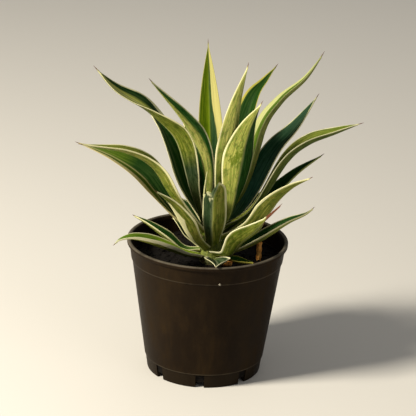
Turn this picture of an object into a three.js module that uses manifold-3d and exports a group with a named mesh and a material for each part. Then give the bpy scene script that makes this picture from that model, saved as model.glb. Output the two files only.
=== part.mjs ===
// A potted agave with variegated leaves, in a black plastic nursery pot.
// Millimetres, +Z up. The origin is the middle of the pot's base, on the surface that it stands on.
// Azimuths are in degrees: 0 is +X, 90 is +Y (the far side), 180 is -X, 270 is -Y (the near side).
import * as THREE from 'three';
import { mergeVertices } from 'three/addons/utils/BufferGeometryUtils.js';
import Module from 'manifold-3d';

// The pot: a 15 cm nursery pot with a rolled lip, a collar under it and a recessed foot with drain notches.
const POT_HEIGHT = 128;
const LIP_RADIUS = 75;
const BASE_RADIUS = 53.5;
const POT_WALL = 1.6;
const FLOOR_THICKNESS = 2.4;
const FLOOR_LIFT = 2.5;
const CENTRE_FOOT_RADIUS = 12;
const FOOT_HEIGHT = 14;
const FOOT_RECESS = 0.7;
const COLLAR_HEIGHT = 19;
const COLLAR_STEP = 0.9;
const LIP_ROLL = 1.5;
const LIP_BAND = 4;
const POT_SIDES = 64;
const NOTCH_COUNT = 8;
const NOTCH_TURN = 267;
const NOTCH_WIDTH = 8;
const NOTCH_HEIGHT = 13;
const NOTCH_DEPTH = 16;

// The soil fills the pot to just under the rim, and the short stem stands in a plain hole in it.
const GAP = 0.3;
const SOIL_LEVEL = 111;
const SOIL_DISH = 1.5;
const PLANT_X = 4;
const PLANT_Y = -8;
const STEM_BOTTOM = 72;
const STEM_SHOULDER = 113;
const STEM_TOP = 163;
const STEM_RADIUS = 11;
const STEM_TOP_RADIUS = 3;
const STEM_SIDES = 16;

// A leaf's own proportions, all as parts of its length or of its half width.
const LEAF_STATIONS = 15;
const SPINE_SHARE = 0.035;
const CLASP_SHARE = 0.16;
const SPINE_RADIUS = 0.55;
const TAPER_POWER = 1.35;
const KEEL_ROUNDING = 0.15;
const TORN_REMNANT = 0.3;
const EDGE_THICKNESS = 0.9;
const ROOT_THICKNESS = 2.8;
const BLADE_THICKNESS = 2.4;
const TIP_THICKNESS = 1.3;
const ROOT_SPREAD = 1.08;
const ROOT_SEAT = -0.5;
const LEAF_PITCH = 1.5;
const LOWEST_LEAF = 114.8;

// The leaves, from the lowest to the highest: each leaves the stem LEAF_PITCH above the one before.
// Each has the direction that it grows in, and the reach and height of points along it, midway
// between its two edges. width is its widest, root its width at the stem as a part of that, belly
// where it is widest and taper how full its tip half is. gutter is how deep it is folded, and roll
// how far it turns about its own line, from root to tip. A third number at a point is how far the
// leaf has drifted sideways, anticlockwise. withered is how much of the tip is dry, and torn is where
// the leaf's clockwise half ends, if it is torn off.
const LEAVES = [
  { name: 'leaf_outer_5', azimuth: 328, width: 12, path: [[22, 118], [35, 118], [46.5, 118.3]] },
  {
    name: 'leaf_outer_4', azimuth: 273, width: 24, root: 0.3,
    path: [[22, 122, 2], [32, 125.5, 3.5], [48, 129.5, 3], [62, 131.5, 1.5], [72, 130.5]],
  },
  {
    name: 'leaf_outer_3', azimuth: 210, width: 24,
    path: [[27, 124], [40, 132], [52.5, 138.5], [65, 143.5], [81.5, 147.5], [95.5, 146], [102.5, 140.5]],
  },
  { name: 'leaf_far_8', azimuth: 144, width: 18, path: [[24, 130], [36, 137], [47, 141]] },
  { name: 'leaf_far_7', azimuth: 46, width: 20, path: [[28, 132], [46, 141], [64, 143]] },
  {
    name: 'leaf_outer_2', azimuth: 180, width: 18, height: 121.8, seat: 0.4,
    path: [[25, 122], [38, 133], [49.5, 140.5], [60.5, 146.5], [74, 152]],
  },
  {
    name: 'leaf_middle_9', azimuth: 306, width: 24, clasp: 0.83, root: 0.55, belly: 0.4, withered: 0.2,
    roll: [0, -20, -20],
    path: [[23.5, 127], [31, 135], [38, 144.5], [48, 153], [63, 163.5], [79.5, 177], [102, 197.5]],
  },
  { name: 'leaf_far_6', azimuth: 124, width: 22, path: [[28, 141], [46, 151], [62, 154]] },
  {
    name: 'leaf_outer_1', azimuth: 356, width: 20, height: 119.6,
    path: [[23.5, 124.5], [35.5, 132.5], [51.5, 144], [68.5, 154.5], [84.5, 161.5], [93, 168]],
  },
  {
    name: 'leaf_middle_10', azimuth: 224, width: 25, clasp: 0.56, root: 0.45, height: 126.9, seat: -1.6,
    path: [[22, 141], [34, 161], [52, 181], [72, 194]],
  },
  { name: 'leaf_far_5', azimuth: 72, width: 22, path: [[34, 143], [58, 153], [80, 153]] },
  {
    name: 'leaf_inner_7', azimuth: 274.5, width: 22.5, root: 0.62, taper: 3.4, gutter: 0.6, height: 131,
    seat: -2.5, roll: [0, -16, -16, -10], torn: 0.72,
    path: [[18, 155], [22, 185], [33, 199, 2.5]],
  },
  { name: 'leaf_middle_7', azimuth: 22, width: 22, path: [[38, 159], [64, 177], [84, 191.5], [110, 204]] },
  {
    name: 'leaf_middle_6', azimuth: 171, width: 31, root: 0.3, seat: -0.4, roll: [0, -26, -26],
    path: [[31, 152.5], [61, 187.5], [92, 204.5], [131, 214]],
  },
  {
    name: 'leaf_middle_8', azimuth: 336, width: 25, belly: 0.5, roll: [-10, -25, -10],
    path: [[38, 155], [58, 182], [76, 198], [96, 208]],
  },
  { name: 'leaf_far_4', azimuth: 99, width: 24, path: [[32, 152], [60, 165], [86, 166]] },
  {
    name: 'leaf_middle_1', azimuth: 27, width: 32, root: 0.26, belly: 0.42, taper: 1.7,
    path: [[28, 158], [48.5, 197], [62, 216], [82, 233], [106, 260]],
  },
  {
    name: 'leaf_middle_5', azimuth: 198, width: 26, root: 0.26,
    path: [[32, 175], [48, 203.5], [64, 217.5], [84, 225.5], [104, 228.5], [128, 231.5]],
  },
  {
    name: 'leaf_middle_3', azimuth: 145, width: 26, root: 0.26,
    path: [[28, 173], [42, 203], [56, 224], [70, 237], [87, 251]],
  },
  {
    name: 'leaf_middle_4', azimuth: 354, width: 25, root: 0.28, belly: 0.6, taper: 2.2,
    path: [[34, 164], [60, 214], [81, 234.5], [108, 245], [133, 252.5]],
  },
  {
    name: 'leaf_middle_2', azimuth: 190, width: 28, root: 0.26, taper: 2.2, seat: -0.3,
    roll: [0, 28, 25, -22, -35], path: [[17, 183], [29, 231], [56, 259], [90, 277.5], [112, 298]],
  },
  { name: 'leaf_far_3', azimuth: 75, width: 20, root: 0.28, path: [[20, 181], [36, 209], [54, 229]] },
  { name: 'leaf_far_2', azimuth: 128, width: 20, root: 0.28, path: [[18, 183], [33, 211], [50, 232]] },
  {
    name: 'leaf_inner_5', azimuth: 325, width: 30, root: 0.28, belly: 0.55, gutter: 0.6,
    roll: [-12, -36, -30, -25], path: [[15, 159], [21, 185], [26, 223], [35, 250], [49.5, 274]],
  },
  {
    name: 'leaf_inner_4', azimuth: 16, width: 28, root: 0.24, roll: [0, -14],
    path: [[24.5, 178], [38.5, 236], [57, 263], [82, 283], [100, 306]],
  },
  {
    name: 'leaf_inner_6', azimuth: 226, width: 24, root: 0.2, belly: 0.56,
    path: [[7, 201], [20.5, 236], [43, 263], [86, 300.5]],
  },
  {
    name: 'leaf_inner_3', azimuth: 52, width: 23, root: 0.14, seat: 0.4, belly: 0.52, taper: 1.5,
    path: [[20, 193], [38, 235], [53, 259.5], [71, 270], [91.5, 281]],
  },
  {
    name: 'leaf_inner_2', azimuth: 308, width: 23, root: 0.26,
    path: [[10, 192], [17, 232], [26, 268], [43, 310]],
  },
  {
    name: 'leaf_inner_1', azimuth: 97, width: 23, root: 0.22, taper: 1.7,
    path: [[12.5, 193], [42, 229], [64, 263], [83, 300]],
  },
  {
    name: 'leaf_inner_8', azimuth: 52, width: 10, root: 0.2, height: 161.3, seat: 0.3,
    path: [[3.6, 193], [9, 228], [16, 252]],
  },
];
const DRY_LEAF = {
  name: 'dry_leaf', azimuth: 301, width: 13, root: 0.2, belly: 0.6, gutter: 0.3, height: 114.6,
  path: [[20, 115.6], [36, 118]],
};

// A withered stalk stands beside the plant, in a plain hole of its own.
const STALK_X = 48;
const STALK_Y = -4;
const STALK_RADIUS = 2.8;
const STALK_BOTTOM = 102;
const STALK_TOP = 128;
const STALK_SIDES = 10;

const wasm = await Module();
wasm.setup();

// A geometry with its shared corners merged, as a solid that can be joined and cut.
function solidOf(geometry) {
  const bare = geometry.clone();
  bare.deleteAttribute('normal');
  bare.deleteAttribute('uv');
  const merged = mergeVertices(bare, 1e-4);
  return new wasm.Manifold(new wasm.Mesh({
    numProp: 3,
    vertProperties: new Float32Array(merged.attributes.position.array),
    triVerts: new Uint32Array(merged.index.array),
  }));
}

// A joined or cut solid, back as a geometry.
function geometryOf(solid) {
  const mesh = solid.getMesh();
  const geometry = new THREE.BufferGeometry();
  geometry.setAttribute('position', new THREE.BufferAttribute(new Float32Array(mesh.vertProperties), 3));
  geometry.setIndex(new THREE.BufferAttribute(new Uint32Array(mesh.triVerts), 1));
  geometry.computeVertexNormals();
  return geometry;
}

// A closed profile of [radius, height] points, turned about +Z.
function turned(profile, sides) {
  const points = profile.map(([radius, height]) => new THREE.Vector2(radius, height));
  return new THREE.LatheGeometry(points, sides).rotateX(Math.PI / 2);
}

// The outer wall's radius at a height: a straight taper from the base to the collar.
const WALL_TOP_RADIUS = LIP_RADIUS - LIP_ROLL - COLLAR_STEP;
function wallRadius(height) {
  return BASE_RADIUS + FOOT_RECESS + (WALL_TOP_RADIUS - BASE_RADIUS - FOOT_RECESS) * (height / POT_HEIGHT);
}

function potGeometry() {
  const collarFoot = POT_HEIGHT - COLLAR_HEIGHT;
  const lipFoot = POT_HEIGHT - LIP_BAND;
  const inside = (height) => wallRadius(height) - POT_WALL;
  const floorTop = FLOOR_LIFT + FLOOR_THICKNESS;
  const profile = [
    [0, 0],
    [CENTRE_FOOT_RADIUS, 0],
    [CENTRE_FOOT_RADIUS + 1, FLOOR_LIFT],
    [BASE_RADIUS - 4, FLOOR_LIFT],
    [BASE_RADIUS - 3, 0],
    [BASE_RADIUS - 0.5, 0],
    [BASE_RADIUS, 0.5],
    [wallRadius(FOOT_HEIGHT) - FOOT_RECESS, FOOT_HEIGHT - 0.6],
    [wallRadius(FOOT_HEIGHT), FOOT_HEIGHT],
    [wallRadius(collarFoot), collarFoot],
    [wallRadius(collarFoot) + COLLAR_STEP, collarFoot + 0.8],
    [wallRadius(lipFoot) + COLLAR_STEP, lipFoot],
    [LIP_RADIUS - 0.3, lipFoot + 0.6],
    [LIP_RADIUS, lipFoot + LIP_ROLL],
    [LIP_RADIUS - 0.4, POT_HEIGHT - 0.5],
    [LIP_RADIUS - LIP_ROLL, POT_HEIGHT],
    [LIP_RADIUS - 2 * LIP_ROLL, POT_HEIGHT - 0.4],
    [inside(lipFoot), lipFoot],
    [inside(floorTop), floorTop],
    [0, floorTop],
  ];
  let pot = solidOf(turned(profile, POT_SIDES));
  for (let i = 0; i < NOTCH_COUNT; i += 1) {
    const notch = new THREE.BoxGeometry(NOTCH_DEPTH, NOTCH_WIDTH, 2 * NOTCH_HEIGHT)
      .translate(BASE_RADIUS - 1, 0, 0)
      .rotateZ(THREE.MathUtils.degToRad(NOTCH_TURN + (360 / NOTCH_COUNT) * i));
    pot = pot.subtract(solidOf(notch));
  }
  return geometryOf(pot);
}

function soilGeometry() {
  const inside = (height) => wallRadius(height) - POT_WALL - GAP;
  const bottom = FLOOR_LIFT + FLOOR_THICKNESS + GAP;
  const profile = [
    [0, bottom],
    [inside(bottom), bottom],
    [inside(SOIL_LEVEL), SOIL_LEVEL],
    [0.8 * inside(SOIL_LEVEL), SOIL_LEVEL - SOIL_DISH],
    [0.4 * inside(SOIL_LEVEL), SOIL_LEVEL - 0.6 * SOIL_DISH],
    [0, SOIL_LEVEL - 0.6 * SOIL_DISH],
  ];
  const holeHeight = POT_HEIGHT - STEM_BOTTOM + GAP;
  const hole = new THREE.CylinderGeometry(STEM_RADIUS + GAP, STEM_RADIUS + GAP, holeHeight, STEM_SIDES)
    .rotateX(Math.PI / 2)
    .translate(PLANT_X, PLANT_Y, STEM_BOTTOM - GAP + holeHeight / 2);
  const stalkHole = stalkGeometry(GAP, STALK_BOTTOM - GAP, POT_HEIGHT);
  const soil = solidOf(turned(profile, POT_SIDES)).subtract(solidOf(hole)).subtract(solidOf(stalkHole));
  return geometryOf(soil);
}

// The stalk, or with some room round it the hole that it stands in.
function stalkGeometry(room, bottom, top) {
  const radius = STALK_RADIUS + room;
  return new THREE.CylinderGeometry(radius, radius, top - bottom, STALK_SIDES)
    .rotateX(Math.PI / 2)
    .translate(STALK_X, STALK_Y, (bottom + top) / 2);
}

// The stem's radius at a height: straight in the soil, then a slim cone among the leaf bases.
function stemRadius(height) {
  const rise = (height - STEM_SHOULDER) / (STEM_TOP - STEM_SHOULDER);
  return THREE.MathUtils.lerp(STEM_RADIUS, STEM_TOP_RADIUS, Math.max(0, rise));
}

function stemGeometry() {
  const profile = [
    [0, STEM_BOTTOM],
    [STEM_RADIUS - 1, STEM_BOTTOM],
    [STEM_RADIUS, STEM_BOTTOM + 1],
    [STEM_RADIUS, STEM_SHOULDER],
    [stemRadius(STEM_TOP - 1), STEM_TOP - 1],
    [STEM_TOP_RADIUS - 1, STEM_TOP],
    [0, STEM_TOP],
  ];
  return turned(profile, STEM_SIDES).translate(PLANT_X, PLANT_Y, 0);
}

// A leaf's half width at a share of its length: it widens from the root to the belly,
// then narrows in a long taper to the spine.
function halfWidth(leaf, share) {
  const { width, root = 0.34, clasp = root, belly = 0.45 } = leaf;
  const { taper = TAPER_POWER, withered = SPINE_SHARE } = leaf;
  const half = width / 2;
  if (share < belly) {
    const rise = share / belly;
    const hold = (clasp - root) * Math.max(0, 1 - share / CLASP_SHARE) ** 2;
    return half * (root + (1 - root) * rise * rise * (3 - 2 * rise) + hold);
  }
  const fall = Math.min(1, (share - belly) / (1 - withered - belly));
  return Math.max(SPINE_RADIUS, half * (1 - fall ** taper));
}

// The midrib's thickness at a share of the length.
function midThickness(share) {
  const blade = THREE.MathUtils.lerp(ROOT_THICKNESS, BLADE_THICKNESS, Math.min(1, share / 0.4));
  return share < 0.4 ? blade : THREE.MathUtils.lerp(BLADE_THICKNESS, TIP_THICKNESS, (share - 0.4) / 0.6);
}

// How far the upper face rises from the midrib to a place across the blade, from -1 to 1.
function gutterRise(across) {
  const flat = Math.sqrt(1 + KEEL_ROUNDING ** 2) - KEEL_ROUNDING;
  return (Math.sqrt(across ** 2 + KEEL_ROUNDING ** 2) - KEEL_ROUNDING) / flat;
}

// A value part of the way along a list, where 0 is its first entry and 1 its last.
function partWay(list, share) {
  const place = share * (list.length - 1);
  const i = Math.min(list.length - 2, Math.floor(place));
  return THREE.MathUtils.lerp(list[i], list[i + 1], place - i);
}

const ACROSS = [-1, -0.5, 0, 0.5, 1];

// A leaf is a loft: at stations along its midrib, a folded strip with an upper and a lower face.
function leafGeometry(leaf) {
  const turn = THREE.MathUtils.degToRad(leaf.azimuth);
  const outward = new THREE.Vector3(Math.cos(turn), Math.sin(turn), 0);
  const sideways = new THREE.Vector3(-Math.sin(turn), Math.cos(turn), 0);
  const rootHeight = leaf.height ?? LOWEST_LEAF + LEAF_PITCH * LEAVES.indexOf(leaf);
  const { gutter = 0.5, roll = [0, 0], seat = 0, torn = 1 } = leaf;
  const rootReach = ROOT_SPREAD * stemRadius(rootHeight) + ROOT_SEAT + seat;
  const path = [[rootReach, rootHeight], ...leaf.path];
  const midrib = new THREE.CatmullRomCurve3(
    path.map(([reach, height, drift = 0]) => new THREE.Vector3(PLANT_X, PLANT_Y, height)
      .addScaledVector(outward, reach)
      .addScaledVector(sideways, drift)),
    false,
    'catmullrom',
    0.5,
  );
  const positions = [];
  const indices = [];
  const ringSize = 2 * ACROSS.length;
  const shares = [...Array(LEAF_STATIONS).keys()].map((i) => (1 - SPINE_SHARE) * (i / (LEAF_STATIONS - 1)));
  shares.push(1);
  shares.forEach((share) => {
    const middle = midrib.getPointAt(share);
    const along = midrib.getTangentAt(share);
    const flatSide = sideways.clone().addScaledVector(along, -along.dot(sideways)).normalize();
    const flatUp = new THREE.Vector3().crossVectors(along, flatSide);
    const angle = THREE.MathUtils.degToRad(partWay(roll, share));
    const side = flatSide.clone().multiplyScalar(Math.cos(angle)).addScaledVector(flatUp, Math.sin(angle));
    const up = flatUp.clone().multiplyScalar(Math.cos(angle)).addScaledVector(flatSide, -Math.sin(angle));
    const half = halfWidth(leaf, share);
    const thick = midThickness(share);
    const across = ACROSS.map((v) => (v < 0 && share > torn ? TORN_REMNANT * v : v));
    const upper = across.map((v) => [v * half, gutter * half * (gutterRise(v) - 1)]);
    const lower = across.map((v) => {
      const edge = Math.min(EDGE_THICKNESS, thick);
      return [v * half, gutter * half * (gutterRise(v) - 1) - edge - (thick - edge) * (1 - v * v)];
    }).reverse();
    [...upper, ...lower].forEach(([s, u]) => {
      const p = middle.clone().addScaledVector(side, s).addScaledVector(up, u);
      positions.push(p.x, p.y, p.z);
    });
  });
  for (let k = 0; k < shares.length - 1; k += 1) {
    for (let j = 0; j < ringSize; j += 1) {
      const a = k * ringSize + j;
      const b = k * ringSize + ((j + 1) % ringSize);
      indices.push(a, b + ringSize, b, a, a + ringSize, b + ringSize);
    }
  }
  // The end caps are strips between the upper and the lower face.
  const ends = [[0, true], [(shares.length - 1) * ringSize, false]];
  ends.forEach(([start, isRoot]) => {
    for (let j = 0; j < ACROSS.length - 1; j += 1) {
      const a = start + j;
      const b = start + j + 1;
      const c = start + ringSize - 2 - j;
      const d = start + ringSize - 1 - j;
      if (isRoot) indices.push(a, b, c, a, c, d);
      else indices.push(a, c, b, a, d, c);
    }
  });
  const geometry = new THREE.BufferGeometry();
  geometry.setAttribute('position', new THREE.Float32BufferAttribute(positions, 3));
  geometry.setIndex(indices);
  geometry.computeVertexNormals();
  return geometry;
}

const blackPlastic = new THREE.MeshStandardMaterial({ color: 0x1d1b19, roughness: 0.55, metalness: 0 });
const darkSoil = new THREE.MeshStandardMaterial({ color: 0x120e0b, roughness: 1, metalness: 0 });
const drySkin = new THREE.MeshStandardMaterial({ color: 0xb5813f, roughness: 0.85, metalness: 0 });
const stemSkin = new THREE.MeshStandardMaterial({ color: 0xa8743c, roughness: 0.85, metalness: 0 });
const leafSkin = new THREE.MeshStandardMaterial({ color: 0x5f7d36, roughness: 0.45, metalness: 0 });

function piece(name, geometry, material) {
  const mesh = new THREE.Mesh(geometry, material);
  mesh.name = name;
  return mesh;
}

const agave = new THREE.Group();
agave.add(piece('pot', potGeometry(), blackPlastic));
agave.add(piece('soil', soilGeometry(), darkSoil));
agave.add(piece('stem', stemGeometry(), stemSkin));
LEAVES.forEach((leaf) => agave.add(piece(leaf.name, leafGeometry(leaf), leafSkin)));
agave.add(piece('dry_leaf', leafGeometry(DRY_LEAF), drySkin));
agave.add(piece('dry_stalk', stalkGeometry(0, STALK_BOTTOM, STALK_TOP), drySkin));

export default agave;
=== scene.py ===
import math

import bmesh
import bpy
import numpy as np
from mathutils import Matrix


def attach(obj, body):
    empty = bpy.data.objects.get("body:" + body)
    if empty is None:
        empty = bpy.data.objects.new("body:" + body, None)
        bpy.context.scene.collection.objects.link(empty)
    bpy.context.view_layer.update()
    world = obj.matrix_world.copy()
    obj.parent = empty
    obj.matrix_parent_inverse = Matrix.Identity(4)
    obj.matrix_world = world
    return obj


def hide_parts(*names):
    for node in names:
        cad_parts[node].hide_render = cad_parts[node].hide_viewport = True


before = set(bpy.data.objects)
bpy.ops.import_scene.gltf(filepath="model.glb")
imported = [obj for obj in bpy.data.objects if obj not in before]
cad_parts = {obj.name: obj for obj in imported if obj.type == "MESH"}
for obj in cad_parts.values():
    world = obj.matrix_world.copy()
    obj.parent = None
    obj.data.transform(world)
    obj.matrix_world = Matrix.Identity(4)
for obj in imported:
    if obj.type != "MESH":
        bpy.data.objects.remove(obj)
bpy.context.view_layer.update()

# The pot: one thin moulding of black plastic with a rolled lip, a collar and a straight tapered wall.
# It stands on a ring that drain notches break and on a small foot in its middle. Dust from weather and
# handling has left its plastic brown in random patches; the foot band is lightened with painted bounce
# light, and the lip's top and the lines at the foot and the collar carry painted highlights.
MM = 0.001
POT_HEIGHT = 128
LIP_RADIUS = 75
BASE_RADIUS = 53.5
POT_WALL = 1.6
FLOOR_BOTTOM = 2.5
FLOOR_TOP = 4.9
FOOT_HEIGHT = 14
FOOT_RECESS = 0.7
COLLAR_HEIGHT = 19
COLLAR_STEP = 0.9
LIP_ROLL = 1.5
LIP_BAND = 4
CENTRE_FOOT = 12
NOTCHES = 8
NOTCH_TURN = 267
NOTCH_HALF_ANGLE = 4.29
NOTCH_HEIGHT = 13
NOTCH_INNER_RADIUS = 44.5
NOTCH_COLUMNS = 6
WALL_COLUMNS = 30
FILLET_PLACES = 6
FILLET_LIMIT = 0.45

PLASTIC_DARK = (0.0108, 0.0065, 0.0033, 1)
PLASTIC_DUSTY = (0.0245, 0.0145, 0.0058, 1)
# Painted bounce light from the floor on the band at the foot.
FOOT_BOUNCE = (0.013, 0.0090, 0.0050, 1)
FOOT_BOUNCE_TOP = 16.5
FOOT_BOUNCE_FULL = 12
# Painted highlight along the top of the lip.
LIP_HIGHLIGHT = (0.095, 0.082, 0.062, 1)
LIP_HIGHLIGHT_FOOT = 126.2
LIP_HIGHLIGHT_FULL = 127.6
# Painted highlights along the foot line and the collar line.
EDGE_HIGHLIGHT = (0.085, 0.068, 0.045, 1)
FOOT_LINE = 14.2
COLLAR_LINE = 109.8


def filleted(corners):
    """A profile whose corners are rounded: each (radius, height, rounding) becomes a quadratic curve that
    leaves the lines on both sides at the rounding's distance from the corner, but short of half way."""
    places = np.array([c[:2] for c in corners], float)
    out = [places[:1]]
    for before, here, after, corner in zip(places, places[1:], places[2:], corners[1:-1]):
        ends = []
        for line in (before - here, after - here):
            length = np.linalg.norm(line)
            ends.append(here + line * (min(corner[2], FILLET_LIMIT * length) / length))
        t = np.linspace(0, 1, FILLET_PLACES)[:, None]
        out.append((1 - t) ** 2 * ends[0] + 2 * t * (1 - t) * here + t**2 * ends[1])
    out.append(places[-1:])
    return np.concatenate(out)


def split(line, step):
    """The same line with every stretch longer than step divided evenly."""
    parts = []
    for a, b in zip(line, line[1:]):
        count = max(1, math.ceil(np.linalg.norm(b - a) / step))
        parts.append(a + (b - a) * (np.arange(count) / count)[:, None])
    return np.concatenate(parts + [line[-1:]])


def evenly(line, count):
    """count places on a line, at even steps of its length."""
    steps = np.r_[0, np.cumsum(np.linalg.norm(np.diff(line, axis=0), axis=1))]
    at = np.linspace(0, steps[-1], count)
    return np.stack([np.interp(at, steps, line[:, k]) for k in range(line.shape[1])], axis=1)


def turned(profile, angles):
    """Places of a profile turned about +Z: its radius times each angle's cosine and sine, and its height."""
    radius, height = profile[:, 0], profile[:, 1]
    across = np.cos(angles)[:, None] * radius
    along = np.sin(angles)[:, None] * radius
    return np.stack([across, along, np.broadcast_to(height, across.shape)], axis=-1).reshape(-1, 3)


def spokes(count):
    """Angles evenly round one turn."""
    return np.linspace(0, 2 * np.pi, count, endpoint=False)


def grid_faces(rows, columns, round_rows=False, round_columns=False):
    """Quads between the neighbours of a grid whose places are numbered row by row; a round way joins its end
    to its start."""
    r = np.arange(rows if round_rows else rows - 1)[:, None]
    c = np.arange(columns if round_columns else columns - 1)[None, :]
    r2, c2 = (r + 1) % rows, (c + 1) % columns
    corners = r * columns + c, r2 * columns + c, r2 * columns + c2, r * columns + c2
    return np.stack(np.broadcast_arrays(*corners), axis=-1).reshape(-1, 4)


def fan(centre, ring):
    """Triangles from one place to each pair of neighbours round a ring."""
    return np.stack([np.full(len(ring), centre), ring, np.roll(ring, -1)], axis=1)


def piece(name, mesh, material):
    """The mesh as a piece of the scene, in its material."""
    mesh.materials.append(material)
    thing = bpy.data.objects.new(name, mesh)
    bpy.context.scene.collection.objects.link(thing)
    return thing


def solid(name, places, faces, material, crease=40):
    """A piece from places in millimetres and a list of faces: its doubled corners are merged, its faces
    turned outwards, and its edges sharper than crease degrees kept crisp."""
    mesh = bpy.data.meshes.new(name)
    mesh.from_pydata((places * MM).tolist(), [], faces)
    work = bmesh.new()
    work.from_mesh(mesh)
    bmesh.ops.remove_doubles(work, verts=work.verts, dist=1e-6)
    bmesh.ops.recalc_face_normals(work, faces=work.faces)
    work.to_mesh(mesh)
    work.free()
    mesh.shade_smooth()
    mesh.set_sharp_from_angle(angle=math.radians(crease))
    return piece(name, mesh, material)


class Finish:
    """A procedural material: it makes nodes, and links what is given as a socket and sets what is a value."""

    def __init__(self, name, roughness, specular=0.5):
        self.material = bpy.data.materials.new(name)
        self.material.use_nodes = True
        self.tree = self.material.node_tree
        self.shader = self.tree.nodes["Principled BSDF"]
        self.shader.inputs["Roughness"].default_value = roughness
        self.shader.inputs["Specular IOR Level"].default_value = specular

    def node(self, kind, inputs=(), **settings):
        """A node of that kind, with its settings made and its inputs given."""
        made = self.tree.nodes.new(kind)
        for key, value in settings.items():
            setattr(made, key, value)
        for key, value in dict(inputs).items():
            self.give(made.inputs[key], value)
        return made

    def give(self, socket, value):
        """Link the socket to another, or set it to a plain value."""
        if isinstance(value, bpy.types.NodeSocket):
            self.tree.links.new(value, socket)
        else:
            socket.default_value = value

    def colour(self, value):
        """Give the surface its colour."""
        self.give(self.shader.inputs["Base Color"], value)

    def noise(self, vector, scale, detail=3.0, roughness=0.55):
        """Smooth random values from 0 to 1, with detail more octaves of half the size each."""
        inputs = {"Vector": vector, "Scale": scale, "Detail": detail, "Roughness": roughness}
        return self.node("ShaderNodeTexNoise", inputs).outputs["Fac"]

    def ramp(self, value, low, high, low_out=0.0, high_out=1.0):
        """A smooth step from low_out at low to high_out at high."""
        inputs = {"Value": value, "From Min": low, "From Max": high, "To Min": low_out, "To Max": high_out}
        return self.node("ShaderNodeMapRange", inputs, interpolation_type="SMOOTHSTEP").outputs["Result"]

    def maths(self, operation, a, b=0.0):
        """The operation on a and b."""
        return self.node("ShaderNodeMath", {0: a, 1: b}, operation=operation).outputs["Value"]

    def times(self, a, b):
        """a times b."""
        return self.maths("MULTIPLY", a, b)

    def plus(self, a, b):
        """a plus b."""
        return self.maths("ADD", a, b)

    def mix(self, share, a, b, blend="MIX"):
        """The colour a, with a share of b mixed in or multiplied on."""
        made = self.node("ShaderNodeMix", {0: share, 6: a, 7: b}, data_type="RGBA", blend_type=blend)
        return made.outputs[2]

    def stretched(self, vector, scale):
        """The place times a scale along each axis."""
        return self.node("ShaderNodeMapping", {"Vector": vector, "Scale": scale}).outputs["Vector"]

    def attribute(self, name, output="Fac"):
        """A value that the piece's own mesh carries."""
        return self.node("ShaderNodeAttribute", attribute_name=name).outputs[output]

    def place(self):
        """The place on the piece, in metres."""
        return self.node("ShaderNodeTexCoord").outputs["Object"]

    def level(self):
        """The height on the piece, in metres."""
        return self.node("ShaderNodeSeparateXYZ", {"Vector": self.place()}).outputs["Z"]

    def bump(self, height, strength, distance):
        """Fine relief: the shading tilts as if the surface rose by the height times the distance."""
        inputs = {"Height": height, "Strength": strength, "Distance": distance}
        self.give(self.shader.inputs["Normal"], self.node("ShaderNodeBump", inputs).outputs["Normal"])


def wall_radius(height):
    """The outer wall's radius: a straight taper from the base to the lip."""
    top = LIP_RADIUS - LIP_ROLL - COLLAR_STEP
    return BASE_RADIUS + FOOT_RECESS + (top - BASE_RADIUS - FOOT_RECESS) * height / POT_HEIGHT


plastic = Finish("pot_plastic", 0.55, 0.04)
here = plastic.place()
dust = plastic.noise(plastic.stretched(here, (60, 60, 25)), 1.0, 6.0, 0.65)
streak = plastic.noise(plastic.stretched(here, (240, 240, 9)), 1.0, 4.0, 0.6)
grain = plastic.noise(here, 2600, 2.0)
dusty = plastic.times(plastic.ramp(dust, 0.35, 0.75), plastic.ramp(streak, 0.3, 0.75, 0.45, 1.0))
body = plastic.mix(dusty, PLASTIC_DARK, PLASTIC_DUSTY)
pot_level = plastic.level()


def highlight_line(height, outer, inner, strength):
    """How strong a painted highlight line round the pot is: strength within inner of that height, falling to
    0 at outer.
    """
    away = plastic.maths("ABSOLUTE", plastic.plus(pot_level, -height * MM))
    return plastic.ramp(away, outer * MM, inner * MM, 0.0, strength)


# Painted bounce light from the floor: the band at the foot is lightened, in streaks.
foot_bounce = plastic.ramp(pot_level, FOOT_BOUNCE_TOP * MM, FOOT_BOUNCE_FULL * MM)
foot_bounce = plastic.times(foot_bounce, plastic.ramp(streak, 0.25, 0.7, 0.3, 0.9))
body = plastic.mix(foot_bounce, body, FOOT_BOUNCE)
# Painted highlight: the top of the lip is lightened in patches.
lip_highlight = plastic.ramp(pot_level, LIP_HIGHLIGHT_FOOT * MM, LIP_HIGHLIGHT_FULL * MM)
lip_highlight = plastic.times(lip_highlight, plastic.ramp(dust, 0.25, 0.6, 0.35, 0.9))
body = plastic.mix(lip_highlight, body, LIP_HIGHLIGHT)
# Painted highlights on the lines at the foot and at the collar, in patches.
foot_highlight, collar_highlight = highlight_line(FOOT_LINE, 0.7, 0.1, 0.6), highlight_line(COLLAR_LINE, 0.9, 0.2, 0.45)
line_highlight = plastic.maths("MAXIMUM", foot_highlight, collar_highlight)
line_highlight = plastic.times(line_highlight, plastic.ramp(dust, 0.3, 0.6, 0.3, 1.0))
body = plastic.mix(line_highlight, body, EDGE_HIGHLIGHT)
plastic.colour(body)
plastic.give(plastic.shader.inputs["Roughness"], plastic.ramp(dusty, 0.0, 1.0, 0.45, 0.7))
plastic.bump(plastic.plus(plastic.times(streak, 0.6), grain), 0.35, 0.0004)

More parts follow.
